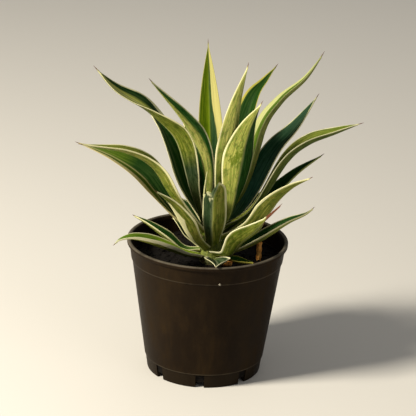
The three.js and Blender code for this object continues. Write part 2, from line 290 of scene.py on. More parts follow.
collar_foot = POT_HEIGHT - COLLAR_HEIGHT
lip_foot = POT_HEIGHT - LIP_BAND
notch_top = (wall_radius(NOTCH_HEIGHT) - FOOT_RECESS, NOTCH_HEIGHT, 0)
notch_top_inside = (wall_radius(NOTCH_HEIGHT) - POT_WALL, NOTCH_HEIGHT, 0)
under = filleted([
    (0, 0, 0), (CENTRE_FOOT, 0, 0.4), (CENTRE_FOOT + 1, FLOOR_BOTTOM, 0.4),
    (NOTCH_INNER_RADIUS, FLOOR_BOTTOM, 0),
])
foot_outside = split(filleted([
    (NOTCH_INNER_RADIUS, FLOOR_BOTTOM, 0), (BASE_RADIUS - 4, FLOOR_BOTTOM, 0.3), (BASE_RADIUS - 3, 0, 0.3),
    (BASE_RADIUS, 0, 0.7), notch_top,
]), 3)
wall = split(filleted([
    notch_top, (wall_radius(FOOT_HEIGHT) - FOOT_RECESS, FOOT_HEIGHT - 0.5, 0.25),
    (wall_radius(FOOT_HEIGHT), FOOT_HEIGHT, 0.3), (wall_radius(collar_foot), collar_foot, 0.5),
    (wall_radius(collar_foot) + COLLAR_STEP, collar_foot + 0.8, 0.4),
    (wall_radius(lip_foot) + COLLAR_STEP - 0.4, lip_foot - 0.6, 0.5),
    (LIP_RADIUS - 0.15, lip_foot + 0.2, 0.7), (LIP_RADIUS, POT_HEIGHT - 0.6, 0.7),
    (LIP_RADIUS - LIP_ROLL, POT_HEIGHT, 0.7),
    (LIP_RADIUS - 2.2 * LIP_ROLL, POT_HEIGHT - 0.6, 0.6), (wall_radius(lip_foot) - POT_WALL, lip_foot, 0.5),
    notch_top_inside,
]), 4)
foot_inside = evenly(np.array([
    notch_top_inside[:2], (wall_radius(FLOOR_TOP) - POT_WALL, FLOOR_TOP), (NOTCH_INNER_RADIUS, FLOOR_TOP),
]), len(foot_outside))
pot_profile = np.concatenate([under[:-1], foot_outside, wall[1:-1], foot_inside, [(0, FLOOR_TOP)]])

# The columns of the turned grid keep to the notches' edges, so that each notch is a clean cut.
notch_start = len(under) - 1
notch_end = notch_start + len(foot_outside) - 1
inner_start = len(pot_profile) - 1 - len(foot_inside)
pitch = 360 / NOTCHES
one_notch = np.r_[
    np.linspace(-NOTCH_HALF_ANGLE, NOTCH_HALF_ANGLE, NOTCH_COLUMNS + 1)[:-1],
    np.linspace(NOTCH_HALF_ANGLE, pitch - NOTCH_HALF_ANGLE, WALL_COLUMNS + 1)[:-1],
]
columns = np.radians(NOTCH_TURN + (np.arange(NOTCHES)[:, None] * pitch + one_notch).ravel())
rows = len(pot_profile)
pot_places = turned(pot_profile, columns)
pot_faces = grid_faces(len(columns), rows, round_rows=True)
column, row = np.divmod(pot_faces[:, 0], rows)
in_notch = column % len(one_notch) < NOTCH_COLUMNS
in_foot = (row >= notch_start) & (row < notch_end) | (row >= inner_start) & (row < rows - 2)
pot_faces = [pot_faces[~(in_notch & in_foot)]]
outer_rows = np.arange(notch_start, notch_end + 1)
inner_rows = np.arange(rows - 2, inner_start - 1, -1)
for notch in range(NOTCHES):
    first = notch * len(one_notch)
    for side in (first, first + NOTCH_COLUMNS):
        outer, inner = side * rows + outer_rows, side * rows + inner_rows
        pot_faces.append(np.stack([outer[:-1], outer[1:], inner[1:], inner[:-1]], axis=1))
    across = np.arange(first, first + NOTCH_COLUMNS)
    for outer_row, inner_row in ((outer_rows[0], inner_rows[0]), (outer_rows[-1], inner_rows[-1])):
        near, far = across * rows, (across + 1) * rows
        edges = near + outer_row, far + outer_row, far + inner_row, near + inner_row
        pot_faces.append(np.stack(edges, axis=1))
pot = solid("nursery_pot", pot_places, np.concatenate(pot_faces).tolist(), plastic.material, crease=50)
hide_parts("pot")
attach(pot, "root")

# The moulding pip: a speck of plastic that the mould left under the collar, on the side that faces the
# viewer. It is flattened against the wall, and its pale speckle is a painted highlight.
PIP_AZIMUTH = math.radians(280)
PIP_LEVEL = 110.5
PIP_RADIUS = 1.1
PIP_FORM = (1, 0.6, 1)
PIP_RINGS = 10
PIP_SPOKES = 16
PIP_DULL = (0.10, 0.085, 0.06, 1)
PIP_HIGHLIGHT = (0.32, 0.29, 0.23, 1)

pip_skin = Finish("pip_skin", 0.5, 0.3)
pip_grain = pip_skin.noise(pip_skin.place(), 1800, 2.0)
# The pale colour is a painted highlight on the pip.
pip_skin.colour(pip_skin.mix(pip_skin.ramp(pip_grain, 0.3, 0.7), PIP_DULL, PIP_HIGHLIGHT))

rise = np.linspace(0, np.pi, PIP_RINGS)
pip_profile = np.stack([np.sin(rise), np.cos(rise)], axis=1)
pip_ball = turned(pip_profile, spokes(PIP_SPOKES)) * PIP_RADIUS * PIP_FORM
pip_reach = wall_radius(PIP_LEVEL) + COLLAR_STEP
pip_middle = (pip_reach * math.cos(PIP_AZIMUTH), pip_reach * math.sin(PIP_AZIMUTH), PIP_LEVEL)
pip_faces = grid_faces(PIP_SPOKES, PIP_RINGS, round_rows=True).tolist()
pip = solid("moulding_pip", pip_ball + pip_middle, pip_faces, pip_skin.material)
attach(pip, "root")

# The soil: dark potting mix that fills the pot to just under its rim, lumpy on top, with loose crumbs
# of bark and peat lying on it. It was pressed in by hand, so it dips a little towards the stem.
SOIL_LEVEL = 111
SOIL_GAP = 0.3
SOIL_BOTTOM = 5.2
SOIL_DISH = 1.5
DISH_REACH = 71
LUMP_ROOM = 0.9
PRESSED_REACH = 8
PRESSED_FADE = 30
LATTICE = 64
SOIL_RINGS = 110
SOIL_SPOKES = 220
PLANT_X = 4
PLANT_Y = -8
EARTH_DARK = (0.0018, 0.0014, 0.0012, 1)
EARTH_LIGHT = (0.0085, 0.0062, 0.0046, 1)
BARK_FLECK = (0.045, 0.031, 0.019, 1)


def lumps(x, y, size, seed):
    """Smooth random heights from -1 to 1: random values on a square lattice of that size, blended between the
    four nearest by a smooth step."""
    values = np.random.default_rng(seed).uniform(-1, 1, (LATTICE, LATTICE))
    gx, gy = x / size, y / size
    ix, iy = np.floor(gx).astype(int), np.floor(gy).astype(int)
    fx, fy = gx - ix, gy - iy
    fx, fy = fx * fx * (3 - 2 * fx), fy * fy * (3 - 2 * fy)
    ix, iy, ix2, iy2 = ix % LATTICE, iy % LATTICE, (ix + 1) % LATTICE, (iy + 1) % LATTICE
    near = values[ix, iy] * (1 - fx) + values[ix2, iy] * fx
    far = values[ix, iy2] * (1 - fx) + values[ix2, iy2] * fx
    return near * (1 - fy) + far * fy


def soil_height(x, y):
    """The soil's top: its level, less a dish that shallows by the square of the reach, and three sizes of
    lumps, which fade out round the stem."""
    reach = np.hypot(x, y)
    relief = lumps(x, y, 17, 3) + 0.7 * lumps(x, y, 6.1, 5) + 0.45 * lumps(x, y, 2.3, 7)
    open_ground = np.clip((np.hypot(x - PLANT_X, y - PLANT_Y) - PRESSED_REACH) / PRESSED_FADE, 0.15, 1)
    return SOIL_LEVEL - SOIL_DISH * (1 - (reach / DISH_REACH) ** 2) - LUMP_ROOM + relief * open_ground


mix = Finish("potting_mix", 0.95, 0.12)
here = mix.place()
clod = mix.noise(here, 420, 5.0, 0.7)
flecks = mix.noise(here, 1500, 3.0, 0.6)
earth = mix.mix(mix.ramp(clod, 0.3, 0.75), EARTH_DARK, EARTH_LIGHT)
earth = mix.mix(mix.ramp(flecks, 0.66, 0.74), earth, BARK_FLECK)
mix.colour(earth)
mix.bump(mix.plus(clod, flecks), 0.7, 0.0012)


def soil_reach(height):
    """The soil's radius where it meets the pot: the inner wall's, less the gap."""
    return wall_radius(height) - POT_WALL - SOIL_GAP


top_radius = soil_reach(SOIL_LEVEL) * np.linspace(0, 1, SOIL_RINGS)
side_profile = [(soil_reach(height), height) for height in (60, 13, SOIL_BOTTOM)]
bottom_profile = np.array(side_profile + [(20, SOIL_BOTTOM), (0, SOIL_BOTTOM)])
soil_profile = np.concatenate([np.stack([top_radius, np.full(SOIL_RINGS, SOIL_LEVEL)], 1), bottom_profile])
soil_places = turned(soil_profile, spokes(SOIL_SPOKES)).reshape(SOIL_SPOKES, -1, 3)
top = soil_places[:, :SOIL_RINGS]
top[..., 2] = soil_height(top[..., 0], top[..., 1])
soil_faces = grid_faces(SOIL_SPOKES, len(soil_profile), round_rows=True).tolist()
soil = solid("potting_soil", soil_places.reshape(-1, 3), soil_faces, mix.material, crease=70)
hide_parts("soil")
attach(soil, "root")

# The crumbs: loose bits of bark and peat on the soil, broken small when the mix was made. Each is a ball
# of a few faces, pushed out of round, drawn longer one way, flattened and half sunk in the soil.
CRUMBS = 420
CRUMB_REACH = 68
CRUMB_SIZE = 1.9
CRUMB_FLATNESS = 0.6
CRUMB_LIFT = 0.15
CRUMB_RINGS = 3
CRUMB_SPOKES = 6

draw = np.random.default_rng(11)
rings = [(u, v) for u in np.linspace(0, np.pi, CRUMB_RINGS + 2)[1:-1] for v in spokes(CRUMB_SPOKES)]
ball = np.array([(math.sin(u) * math.cos(v), math.sin(u) * math.sin(v), math.cos(u)) for u, v in rings])
ball = np.concatenate([ball, [(0, 0, 1), (0, 0, -1)]])
ball_quads = grid_faces(CRUMB_RINGS, CRUMB_SPOKES, round_columns=True)
top_ring = np.arange(CRUMB_SPOKES)
last_ring = top_ring + len(rings) - CRUMB_SPOKES
ball_caps = np.concatenate([fan(len(rings), top_ring[::-1]), fan(len(rings) + 1, last_ring)])
crumb_angle = draw.uniform(0, 2 * np.pi, CRUMBS)
crumb_reach = CRUMB_REACH * np.sqrt(draw.uniform(0.06, 1, CRUMBS))
crumb_x, crumb_y = crumb_reach * np.cos(crumb_angle), crumb_reach * np.sin(crumb_angle)
crumb_size = draw.uniform(0.5, 1.0, CRUMBS)[:, None] ** 2 * CRUMB_SIZE
shape = draw.uniform(0.6, 1.25, (CRUMBS, len(ball), 1)) * ball * (1, 1, CRUMB_FLATNESS)
twist = draw.uniform(0, np.pi, CRUMBS)[:, None]
longer = draw.uniform(1, 1.9, CRUMBS)[:, None]
long_x, long_y = shape[..., 0] * longer, shape[..., 1] / longer**0.5
crumb_places = np.stack([
    crumb_x[:, None] + crumb_size * (long_x * np.cos(twist) - long_y * np.sin(twist)),
    crumb_y[:, None] + crumb_size * (long_x * np.sin(twist) + long_y * np.cos(twist)),
    soil_height(crumb_x, crumb_y)[:, None] + crumb_size * (shape[..., 2] + CRUMB_LIFT),
], axis=-1).reshape(-1, 3)
first = (np.arange(CRUMBS) * len(ball))[:, None, None]
crumb_faces = (first + ball_quads).reshape(-1, 4).tolist() + (first + ball_caps).reshape(-1, 3).tolist()
crumbs = solid("soil_crumbs", crumb_places, crumb_faces, mix.material, crease=180)
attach(crumbs, "root")

# The stem: a short woody cone that the leaves grow from, ringed by the scars of leaves that have gone.
# Only its foot shows, between the lowest leaf bases.
STEM_BOTTOM = 72
STEM_SHOULDER = 113
STEM_TOP = 163
STEM_RADIUS = 11
STEM_TOP_RADIUS = 3
SCAR_PITCH = 2.6
SCAR_DEPTH = 0.22
STEM_STEP = 0.4
STEM_SPOKES = 48
GREEN_FROM = 112.5
GREEN_FULL = 115.5
BARK_DARK = (0.035, 0.036, 0.010, 1)
BARK_LIGHT = (0.090, 0.092, 0.024, 1)
BARK_RUST = (0.090, 0.048, 0.020, 1)
STEM_GREEN = (0.070, 0.090, 0.012, 1)
STEM_LIME = (0.17, 0.19, 0.03, 1)


def stem_radius(height):
    """The stem's radius: straight in the soil, then a slim cone."""
    rise = (np.asarray(height, float) - STEM_SHOULDER) / (STEM_TOP - STEM_SHOULDER)
    return STEM_RADIUS + (STEM_TOP_RADIUS - STEM_RADIUS) * np.maximum(0, rise)


bark = Finish("stem_skin", 0.7, 0.35)
here = bark.place()
fibre = bark.noise(bark.stretched(here, (900, 900, 120)), 1.0, 4.0)
blotch = bark.noise(here, 160, 3.0)
grained = bark.ramp(fibre, 0.35, 0.7)
skin = bark.mix(bark.ramp(blotch, 0.55, 0.75), bark.mix(grained, BARK_DARK, BARK_LIGHT), BARK_RUST)
green_part = bark.ramp(bark.level(), GREEN_FROM * MM, GREEN_FULL * MM)
skin = bark.mix(green_part, skin, bark.mix(grained, STEM_GREEN, STEM_LIME))
bark.colour(skin)
bark.bump(fibre, 0.5, 0.0005)

heights = np.arange(STEM_BOTTOM + 1, STEM_TOP - 1, STEM_STEP)
scars = SCAR_DEPTH * (np.abs(((heights - STEM_BOTTOM) / SCAR_PITCH) % 1 - 0.5) * 2 - 1)
stem_profile = np.concatenate([
    [(0, STEM_BOTTOM), (STEM_RADIUS - 1, STEM_BOTTOM)],
    np.stack([stem_radius(heights) + scars, heights], axis=1),
    [(STEM_TOP_RADIUS - 1, STEM_TOP), (0, STEM_TOP)],
])
stem_places = turned(stem_profile, spokes(STEM_SPOKES)) + (PLANT_X, PLANT_Y, 0)
stem_faces = grid_faces(STEM_SPOKES, len(stem_profile), round_rows=True).tolist()
stem = solid("leaf_stem", stem_places, stem_faces, bark.material)
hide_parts("stem")
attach(stem, "root")

# The leaves: thick blades folded along the midrib, each grown as one piece with a small brown spine.
# Their upper faces are deep green and their undersides a paler, mottled olive, and both carry the
# cream margins of a variegated plant, with thin streaks where the two colours run together.
LEAF_STATIONS = 160
LEAF_ACROSS = 33
STATION_POWER = 1.25
CURVE_STEPS = 61
SPINE_SHARE = 0.035
SPINE_RADIUS = 0.5
SPINE_POINT = 0.15
SPINE_POWER = 0.8
DRY_BULK = 10
DRY_SLANT = 0.8
CLASP_SHARE = 0.16
TAPER_POWER = 1.35
KEEL_ROUNDING = 0.15
KEEL_WIDTH = 0.6
TORN_REMNANT = 0.3
TEAR_WAVES = ((0.035, 9, 1), (0.02, 23, 0))
TEAR_SPAN = 0.03
DRY_RIM_SPAN = 0.016
DRY_RIM_END = 0.975
EDGE_THICKNESS = 0.9
ROOT_THICKNESS = 2.8
BLADE_THICKNESS = 2.4
TIP_THICKNESS = 1.3
THICK_SHARE = 0.4
ROOT_SPREAD = 1.08
ROOT_SEAT = -0.5
LEAF_PITCH = 1.5
LOWEST_LEAF = 114.8
RIB_PITCH = 2.3
RIB_RELIEF = 0.07
UNDER_RIBS = 0.7
CROWN_SHARE = 0.35
MARGIN_KNOTS = 9
MARGIN_WANDER = 0.25
DIVIDE_BLUR = 0.14
GLOW_SHARE = 0.3
GLOW_POWER = 1.5
GLOW_STRENGTH = 0.45
# Dark spots on some leaves; those on inner_5 are painted cast shadows.
SPOT_DEPTH = 8
SPOT_LENGTH = 0.35
SPOT_BREADTH = 2

DEEP = (0.010, 0.060, 0.006)
BLUE = (0.006, 0.038, 0.017)
TEAL = (0.012, 0.085, 0.062)
DARK = (0.006, 0.036, 0.004)
FRESH = (0.062, 0.135, 0.005)
LEMON = (0.250, 0.275, 0.058)
OLIVE = (0.180, 0.198, 0.030)
DUSK = (0.060, 0.092, 0.010)
SAGE = (0.200, 0.225, 0.060)
MOSS = (0.080, 0.110, 0.010)
FERN = (0.115, 0.140, 0.014)
HERB = (0.060, 0.105, 0.008)
SLATE = (0.018, 0.038, 0.015)
CREAM = (0.69, 0.66, 0.38)
IVORY = (0.72, 0.69, 0.45)
GOLD = (0.42, 0.38, 0.07)
TAN = (0.52, 0.44, 0.22)
STRAW = (0.42, 0.385, 0.13)
PALE = (0.39, 0.40, 0.17)
LIGHT = (0.33, 0.35, 0.09)
BRIGHT = (0.150, 0.235, 0.004)
GLOW = (0.20, 0.23, 0.03)
SPOT_TONE = (0.070, 0.110, 0.003, 1)
HORN_LIGHT = (0.17, 0.060, 0.028, 1)
HORN_DARK = (0.050, 0.018, 0.010, 1)
LIGHT_CAST = (1.75, 1.5, 1.6, 1)
STREAK_CAST = (0.7, 0.8, 0.6, 1)
DARK_CAST = (0.28, 0.42, 0.25, 1)
RUST_CAST = (0.95, 0.60, 0.8, 1)
FAR_SIDE = dict(upper=DEEP, under=MOSS, margins=(0.2, 0.2))

# From the lowest to the highest. path holds the reach from the stem's middle, the height and at times a
# step aside, in millimetres. margins are the cream edges' widths as parts of the half width, on the
# leaf's clockwise and anticlockwise side seen from above, and a list of them goes from root to tip. A
# colour is one for the face, or a list from root to tip, or such a list of pairs for the two sides.
LEAVES = [
    dict(name="leaf_outer_5", azimuth=328, width=12, path=[(22, 118), (35, 118), (46.5, 118.3)],
         upper=DEEP, under=OLIVE, margins=(0.34, 0.12), cream=GOLD),
    dict(name="leaf_outer_4", azimuth=273, width=24, root=0.3,
         path=[(22, 122, 2), (32, 125.5, 3.5), (48, 129.5, 3), (62, 131.5, 1.5), (72, 130.5)],
         upper=SLATE, under=SAGE, margins=(0.14, 0.14), cream=IVORY),
    dict(name="leaf_outer_3", azimuth=210, width=24,
         path=[(27, 124), (40, 132), (52.5, 138.5), (65, 143.5), (81.5, 147.5), (95.5, 146), (102.5, 140.5)],
         upper=[BRIGHT, FRESH], under=OLIVE, margins=(0.08, 0.36), cream=IVORY),
    dict(name="leaf_far_8", azimuth=144, width=18, path=[(24, 130), (36, 137), (47, 141)], **FAR_SIDE),
    dict(name="leaf_far_7", azimuth=46, width=20, path=[(28, 132), (46, 141), (64, 143)], **FAR_SIDE),
    dict(name="leaf_outer_2", azimuth=180, width=18, height=121.8, seat=0.4,
         path=[(25, 122), (38, 133), (49.5, 140.5), (60.5, 146.5), (74, 152)],
         upper=DEEP, under=LEMON, margins=(0.12, 0.14)),
    dict(name="leaf_middle_9", azimuth=306, width=24, clasp=0.83, root=0.55, belly=0.4, withered=0.24,
         roll=(0, -20, -20),
         path=[(23.5, 127), (31, 135), (38, 144.5), (48, 153), (63, 163.5), (79.5, 177), (102, 197.5)],
         upper=DEEP, under=[MOSS, FERN, FERN, FERN], margins=((0.14, 0.1, 0.05, 0.03, 0.03, 0.03), 0.05),
         cream=IVORY),
    dict(name="leaf_far_6", azimuth=124, width=22, path=[(28, 141), (46, 151), (62, 154)], **FAR_SIDE),
    dict(name="leaf_outer_1", azimuth=356, width=20, height=119.6,
         path=[(23.5, 124.5), (35.5, 132.5), (51.5, 144), (68.5, 154.5), (84.5, 161.5), (93, 168)],
         upper=DEEP, under=LEMON, margins=(0.14, 0.1)),
    dict(name="leaf_middle_10", azimuth=224, width=25, clasp=0.56, root=0.45, height=126.9, seat=-1.6,
         path=[(22, 141), (34, 161), (52, 181), (72, 194)],
         upper=DEEP, under=[OLIVE, OLIVE, OLIVE, DUSK], margins=((1.1, 1.15, 1.1, 0.8, 0.5), 0.07)),
    dict(name="leaf_far_5", azimuth=72, width=22, path=[(34, 143), (58, 153), (80, 153)], **FAR_SIDE),
    dict(name="leaf_inner_7", azimuth=274.5, width=22.5, root=0.62, taper=3.4, gutter=0.6, height=131,
         seat=-2.5, blunt=0.45, roll=(0, -16, -16, -10), torn=0.72,
         path=[(18, 155), (22, 185), (33, 199, 2.5)],
         # On the underside the clockwise half is SLATE: painted shade where another leaf's shadow falls on
         # it.
         upper=MOSS, under=[(SLATE, OLIVE)], margins=(0.06, 0.1)),
    dict(name="leaf_middle_7", azimuth=22, width=22, path=[(38, 159), (64, 177), (84, 191.5), (110, 204)],
         upper=DARK, under=OLIVE, margins=(0.5, 0.06), cream=SAGE),
    dict(name="leaf_middle_6", azimuth=171, width=31, root=0.3, seat=-0.4, roll=(0, -26, -26), keel=1,
         path=[(31, 152.5), (61, 187.5), (92, 204.5), (131, 214)],
         # The far (clockwise) wing's DARK near the root is a painted shadow cast by middle_5.
         upper=[(DARK, HERB)] * 7 + [(HERB, HERB)] * 3 + [(MOSS, MOSS)], under=STRAW, margins=(0.06, 0.42),
         cream=TAN),
    dict(name="leaf_middle_8", azimuth=336, width=25, belly=0.5, roll=(-10, -25, -10),
         path=[(38, 155), (58, 182), (76, 198), (96, 208)], upper=DEEP, under=OLIVE, margins=(0.08, 0.1)),
    dict(name="leaf_far_4", azimuth=99, width=24, path=[(32, 152), (60, 165), (86, 166)], **FAR_SIDE),
    dict(name="leaf_middle_1", azimuth=27, width=32, root=0.26, belly=0.42, taper=1.7, keel=0.08,
         path=[(28, 158), (48.5, 197), (62, 216), (82, 233), (106, 260)],
         # The brighter TEAL on the root half is painted blue sky light in the shade at the plant's heart.
         upper=[TEAL, TEAL, BLUE, BLUE], under=MOSS, margins=(0.17, 0.04)),
    dict(name="leaf_middle_5", azimuth=198, width=26, root=0.26,
         path=[(32, 175), (48, 203.5), (64, 217.5), (84, 225.5), (104, 228.5), (128, 231.5)],
         upper=[(FERN, DEEP)], under=[OLIVE, OLIVE, OLIVE, MOSS], margins=(0.1, 0.12),
         blotches=((0.3, 0.3, 0.12), (0.36, 0.1, 0.1))),
    dict(name="leaf_middle_3", azimuth=145, width=26, root=0.26,
         path=[(28, 173), (42, 203), (56, 224), (70, 237), (87, 251)], upper=DEEP, under=MOSS,
         margins=(0.06, 0.3)),
    dict(name="leaf_middle_4", azimuth=354, width=25, root=0.28, belly=0.6, taper=2.2,
         path=[(34, 164), (60, 214), (81, 234.5), (108, 245), (133, 252.5)],
         upper=[(MOSS, OLIVE), (MOSS, FERN), (MOSS, MOSS)], under=MOSS, margins=(0.05, 0.05), cream=IVORY),
    dict(name="leaf_middle_2", azimuth=190, width=28, root=0.26, taper=2.2, seat=-0.3, keel=0.7,
         roll=(0, 28, 25, -22, -35), path=[(17, 183), (29, 231), (56, 259), (90, 277.5), (112, 298)],
         # The upper face's near (anticlockwise) half, OLIVE to LIGHT, is painted light on the sunlit wing,
         # and the SLATE on the underside's lower part is a painted cast shadow.
         upper=[(DARK, OLIVE), (DARK, LEMON), (DARK, LIGHT)],
         under=[(SLATE, SLATE)] * 4 + [(FERN, FERN)] * 3 + [(DEEP, FERN)] * 3 + [(LEMON, LEMON)],
         margins=([0.05] * 6 + [0.4] + [0.06] * 4, 0.06), divide=(0, 0, 0, -0.3, -0.4, -0.4)),
    dict(name="leaf_far_3", azimuth=75, width=20, root=0.28,
         path=[(20, 181), (36, 209), (54, 229)], **FAR_SIDE),
    dict(name="leaf_far_2", azimuth=128, width=20, root=0.28,
         path=[(18, 183), (33, 211), (50, 232)], **FAR_SIDE),
    dict(name="leaf_inner_5", azimuth=325, width=30, root=0.28, belly=0.55, gutter=0.6,
         roll=(-12, -36, -30, -25), path=[(15, 159), (21, 185), (26, 223), (35, 250), (49.5, 274)],
         # The underside's anticlockwise wing is DEEP: painted shade on the wing turned from the light.
         upper=DEEP, under=[(LEMON, DEEP)], margins=(0.055, 0.05),
         # These blotches are painted cast shadows.
         blotches=((0.52, -0.55, 0.09), (0.585, -0.2, 0.1), (0.55, -0.4, 0.12), (0.64, -0.3, 0.08),
                   (0.49, -0.15, 0.06))),
    dict(name="leaf_inner_4", azimuth=16, width=28, root=0.24, roll=(0, -14),
         path=[(24.5, 178), (38.5, 236), (57, 263), (82, 283), (100, 306)], upper=HERB, under=SAGE,
         margins=(0.06, 0.34), cream=PALE),
    dict(name="leaf_inner_6", azimuth=226, width=24, root=0.2, belly=0.56,
         path=[(7, 201), (20.5, 236), (43, 263), (86, 300.5)],
         # The underside's LIGHT part and DEEP part are painted sun on the clockwise wing and painted shade on
         # the anticlockwise wing.
         upper=DEEP, under=[(LIGHT, DEEP)], margins=(0.08, 0.03), divide=(0.9, 0.85, 0.7, 0.5, 0.35, 0.2)),
    dict(name="leaf_inner_3", azimuth=52, width=23, root=0.14, seat=0.4, belly=0.52, taper=1.5, keel=0.03,
         path=[(20, 193), (38, 235), (53, 259.5), (71, 270), (91.5, 281)],
         upper=DARK, under=SAGE, margins=(0.07, 0.2), cream=GOLD),
    dict(name="leaf_inner_2", azimuth=308, width=23, root=0.26,
         path=[(10, 192), (17, 232), (26, 268), (43, 310)],
         # The darker MOSS on the underside's lower part is a painted cast shadow.
         upper=DEEP, under=[MOSS, MOSS, LIGHT, LIGHT, SAGE], margins=(0.05, 0.08)),
    dict(name="leaf_inner_1", azimuth=97, width=23, root=0.22, taper=1.7,
         path=[(12.5, 193), (42, 229), (64, 263), (83, 300)],
         # The upper face's anticlockwise half, BRIGHT, is painted light, as if the leaf glowed with light
         # from behind.
         upper=[(DARK, BRIGHT)], under=OLIVE, margins=(0.52, 0.07), cream=STRAW),
    dict(name="leaf_inner_8", azimuth=52, width=10, root=0.2, height=161.3, seat=0.3,
         path=[(3.6, 193), (9, 228), (16, 252)], upper=FRESH, under=SAGE, margins=(0.5, 0.5)),
]


def leaf_line(points, shares):
    """Places and directions at shares of a line's length: a Catmull-Rom curve through its points, with the
    points beyond its ends mirrored from the ones before them."""
    points = np.array(points, float)
    points = np.concatenate([[2 * points[0] - points[1]], points, [2 * points[-1] - points[-2]]])
    t = np.linspace(0, 1, CURVE_STEPS)[:, None]
    parts = []
    for a, b, c, d in zip(points, points[1:], points[2:], points[3:]):
        start, end = (c - a) / 2, (d - b) / 2
        bend, twist = 3 * (c - b) - 2 * start - end, 2 * (b - c) + start + end
        parts.append((b + start * t + bend * t**2 + twist * t**3)[:-1])
    dense = np.concatenate(parts + [points[-2:-1]])
    length = np.r_[0, np.cumsum(np.linalg.norm(np.diff(dense, axis=0), axis=1))]
    at = np.asarray(shares) * length[-1]
    where = np.stack([np.interp(at, length, dense[:, k]) for k in range(3)], axis=1)
    slope = np.gradient(dense, length, axis=0)
    along = np.stack([np.interp(at, length, slope[:, k]) for k in range(3)], axis=1)
    return where, along / np.linalg.norm(along, axis=1)[:, None], length[-1]


def half_width(share, width, root, clasp, belly, taper, withered, blunt):
    """Half the blade's width: it widens by a smooth step from the root to the belly, then narrows by a power
    of the way to the withered tip, raised again to the bluntness. A clasping root adds width that fades out
    by a square. Where the spine is wider, it counts: a radius that falls by a power of the withered length to
    its point, and that is bulkier the longer that length is."""
    clasp = root if clasp is None else clasp
    rise = np.clip(share / belly, 0, 1)
    lower = root + (1 - root) * rise**2 * (3 - 2 * rise)
    lower += (clasp - root) * np.maximum(0, 1 - share / CLASP_SHARE) ** 2
    fall = np.clip((share - belly) / (1 - withered - belly), 0, 1)
    blade = width / 2 * np.where(share < belly, lower, (1 - fall**taper) ** blunt)
    bulk = 1 + DRY_BULK * (withered - SPINE_SHARE)
    to_point = np.clip((share - 1 + withered) / withered, 0, 1) ** SPINE_POWER
    return np.maximum(SPINE_RADIUS * bulk * (1 - (1 - SPINE_POINT / bulk) * to_point), blade)


def mid_thickness(share):
    """The midrib's thickness: evenly from the root's to the blade's at a share of the length, then to the
    tip's."""
    return np.interp(share, (0, THICK_SHARE, 1), (ROOT_THICKNESS, BLADE_THICKNESS, TIP_THICKNESS))


def gutter_rise(across):
    """How far the upper face rises from the midrib to a place across the blade: a rounded V from 0 to 1."""
    flat = math.sqrt(1 + KEEL_ROUNDING**2) - KEEL_ROUNDING
    return (np.sqrt(across**2 + KEEL_ROUNDING**2) - KEEL_ROUNDING) / flat


def from_root_to_tip(values, share):
    """Values spread evenly over the leaf's length, and blended in between."""
    values = np.array(values, float)
    flat = values.reshape(len(values), -1)
    spread = [np.interp(share, np.linspace(0, 1, len(flat)), column) for column in flat.T]
    return np.stack(spread, axis=-1).reshape(len(share), *values.shape[1:])


def face_tint(colour, share, ring_v, divide):
    """A face's colour over its grid: one colour, or a list from root to tip, or a list of pairs whose two
    sides meet in a narrow smooth step where they divide, which is a place from -1 to 1 across the blade."""
    colour = np.array(colour, float)
    if colour.ndim == 1:
        colour = colour[None]
    if colour.ndim == 2:
        colour = np.repeat(colour[:, None], 2, axis=1)
    pairs = from_root_to_tip(colour, share)
    step = np.clip((ring_v - divide) / DIVIDE_BLUR + 0.5, 0, 1)[..., None]
    step = step * step * (3 - 2 * step)
    return pairs[:, None, 0] * (1 - step) + pairs[:, None, 1] * step


leaf = Finish("leaf_skin", 0.6, 0.06)
blade = leaf.attribute("blade", "Vector")
green = leaf.attribute("green", "Color")
cream = leaf.attribute("cream", "Color")
inside = leaf.attribute("inside")
under_face = leaf.attribute("underside")
spine = leaf.attribute("spine")
keel = leaf.attribute("keel")
dark_spot = leaf.attribute("dark_spot")
fine = leaf.noise(leaf.stretched(blade, (2.6, 0.05, 1)), 1.0, 4.0, 0.6)
broad = leaf.noise(leaf.stretched(blade, (0.95, 0.022, 1)), 1.0, 4.0, 0.6)
mottle = leaf.noise(leaf.stretched(blade, (0.42, 0.11, 1)), 1.0, 5.0, 0.68)
speck = leaf.noise(leaf.stretched(blade, (0.95, 0.5, 1)), 1.0, 4.0, 0.7)


def green_cast(tone):
    """The leaf's own green, multiplied by a tone."""
    return leaf.mix(1.0, green, tone, "MULTIPLY")


edge = leaf.plus(inside, leaf.plus(fine, -0.5))
edge = leaf.plus(edge, leaf.times(leaf.plus(broad, -0.5), 1.4))
is_green = leaf.ramp(edge, -0.08, 0.18)
half_tone = leaf.ramp(edge, 0.05, 0.7)
streaks = leaf.ramp(broad, 0.42, 0.62)
pale_green = leaf.mix(0.32, green, cream)
light_green = leaf.mix(0.05, green_cast(LIGHT_CAST), cream)
tissue = leaf.mix(leaf.times(streaks, 0.7), green_cast(STREAK_CAST), light_green)
patches = leaf.times(leaf.ramp(mottle, 0.46, 0.62), leaf.ramp(under_face, 0.3, 0.9, 0.3, 0.8))
tissue = leaf.mix(patches, tissue, green_cast(DARK_CAST))
rust = leaf.times(leaf.ramp(speck, 0.52, 0.68), leaf.ramp(under_face, 0.3, 0.9, 0.08, 0.85))
tissue = leaf.mix(rust, tissue, green_cast(RUST_CAST))
# Dark spots with ragged edges: on inner_5 they are painted cast shadows.
spot_edge = leaf.plus(leaf.times(mottle, 2.6), leaf.times(speck, 3.2))
spotted = leaf.ramp(leaf.plus(dark_spot, leaf.plus(spot_edge, -2.9)), 0.45, 0.85)
spotted = leaf.times(spotted, leaf.ramp(dark_spot, 0.05, 0.5))
tissue = leaf.mix(leaf.times(spotted, 0.7), tissue, SPOT_TONE)
tissue = leaf.mix(half_tone, pale_green, tissue)
